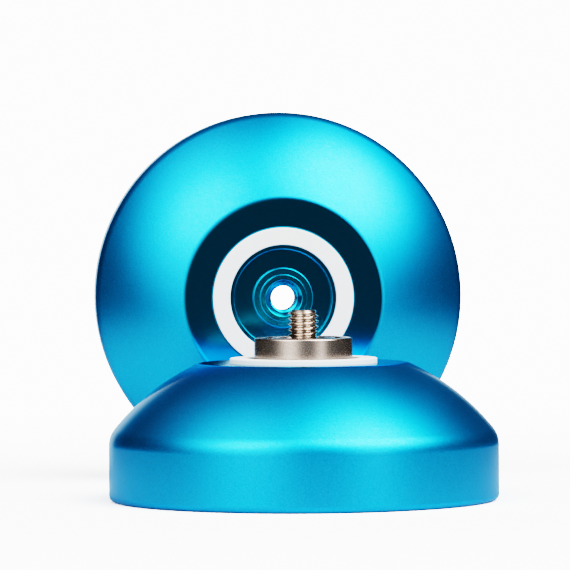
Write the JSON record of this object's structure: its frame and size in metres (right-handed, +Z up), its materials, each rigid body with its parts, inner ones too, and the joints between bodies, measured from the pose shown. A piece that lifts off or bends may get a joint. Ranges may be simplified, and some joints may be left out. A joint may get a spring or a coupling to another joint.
{
  "type": "take-apart yo yo",
  "caption": "Metal yo yo taken apart: one half lies flat with its bearing and threaded axle, the other half stands on its rim behind it.",
  "frame": {"origin": "where the front half's axis meets the floor, at the centre of its outer rim face", "axes": "+Z up along the front half's axis; +Y towards the rear half, which stands behind; +X to the right"},
  "size_m": [0.0542, 0.0748, 0.0505],
  "materials": {
    "anodised": "satin aqua anodised",
    "pad": "matte white silicone",
    "axle_steel": "bright rolled thread",
    "bearing_steel": "ground, lightly worn",
    "cage_steel": "pressed",
    "ball_steel": "polished"
  },
  "bodies": {
    "front_half": {"front_shell": "anodised", "front_response_pad": "pad"},
    "rear_half": {"rear_shell": "anodised", "rear_response_pad": "pad"},
    "axle_rod": {"axle": "axle_steel"},
    "inner_race": {"bearing_inner_race": "bearing_steel"},
    "outer_race": {"bearing_outer_race": "bearing_steel"},
    "cage": {"bearing_cage": "cage_steel"},
    "ball_1": {"bearing_ball_1": "ball_steel"},
    "ball_2": {"bearing_ball_2": "ball_steel"},
    "ball_3": {"bearing_ball_3": "ball_steel"},
    "ball_4": {"bearing_ball_4": "ball_steel"},
    "ball_5": {"bearing_ball_5": "ball_steel"},
    "ball_6": {"bearing_ball_6": "ball_steel"},
    "ball_7": {"bearing_ball_7": "ball_steel"},
    "ball_8": {"bearing_ball_8": "ball_steel"}
  },
  "joints": [
    {"name": "rear_half_carry", "type": "hinge", "parent": "front_half", "child": "rear_half", "pos_m": [-0.00089, 0.01449, 0.01075], "axis": [0.996, 0.0861, 0.0234], "range_deg": [0, 90.03]},
    {"name": "axle_travel", "type": "slide", "parent": "front_half", "child": "axle_rod", "axis": [0, 0, 1], "range_m": [-0.0021, 0.0021]},
    {"name": "bearing_lift", "type": "slide", "parent": "front_half", "child": "inner_race", "axis": [0, 0, 1], "range_m": [0, 0.0055]},
    {"name": "outer_race_spin", "type": "hinge", "parent": "inner_race", "child": "outer_race", "pos_m": [0, 0, 0.01944], "axis": [0, 0, 1], "continuous": true},
    {"name": "cage_spin", "type": "hinge", "parent": "inner_race", "child": "cage", "pos_m": [0, 0, 0.01944], "axis": [0, 0, 1], "continuous": true},
    {"name": "ball_1_spin", "type": "hinge", "parent": "cage", "child": "ball_1", "pos_m": [0.0044, 0.00182, 0.01944], "axis": [0, 0, 1], "continuous": true},
    {"name": "ball_2_spin", "type": "hinge", "parent": "cage", "child": "ball_2", "pos_m": [0.00182, 0.0044, 0.01944], "axis": [0, 0, 1], "continuous": true},
    {"name": "ball_3_spin", "type": "hinge", "parent": "cage", "child": "ball_3", "pos_m": [-0.00182, 0.0044, 0.01944], "axis": [0, 0, 1], "continuous": true},
    {"name": "ball_4_spin", "type": "hinge", "parent": "cage", "child": "ball_4", "pos_m": [-0.0044, 0.00182, 0.01944], "axis": [0, 0, 1], "continuous": true},
    {"name": "ball_5_spin", "type": "hinge", "parent": "cage", "child": "ball_5", "pos_m": [-0.0044, -0.00182, 0.01944], "axis": [0, 0, 1], "continuous": true},
    {"name": "ball_6_spin", "type": "hinge", "parent": "cage", "child": "ball_6", "pos_m": [-0.00182, -0.0044, 0.01944], "axis": [0, 0, 1], "continuous": true},
    {"name": "ball_7_spin", "type": "hinge", "parent": "cage", "child": "ball_7", "pos_m": [0.00182, -0.0044, 0.01944], "axis": [0, 0, 1], "continuous": true},
    {"name": "ball_8_spin", "type": "hinge", "parent": "cage", "child": "ball_8", "pos_m": [0.0044, -0.00182, 0.01944], "axis": [0, 0, 1], "continuous": true}
  ],
  "couplings": [
    {"joint": "cage_spin", "follows": "outer_race_spin", "ratio": 0.58336},
    {"joint": "ball_1_spin", "follows": "outer_race_spin", "ratio": 2.9157},
    {"joint": "ball_2_spin", "follows": "outer_race_spin", "ratio": 2.9157},
    {"joint": "ball_3_spin", "follows": "outer_race_spin", "ratio": 2.9157},
    {"joint": "ball_4_spin", "follows": "outer_race_spin", "ratio": 2.9157},
    {"joint": "ball_5_spin", "follows": "outer_race_spin", "ratio": 2.9157},
    {"joint": "ball_6_spin", "follows": "outer_race_spin", "ratio": 2.9157},
    {"joint": "ball_7_spin", "follows": "outer_race_spin", "ratio": 2.9157},
    {"joint": "ball_8_spin", "follows": "outer_race_spin", "ratio": 2.9157}
  ]
}
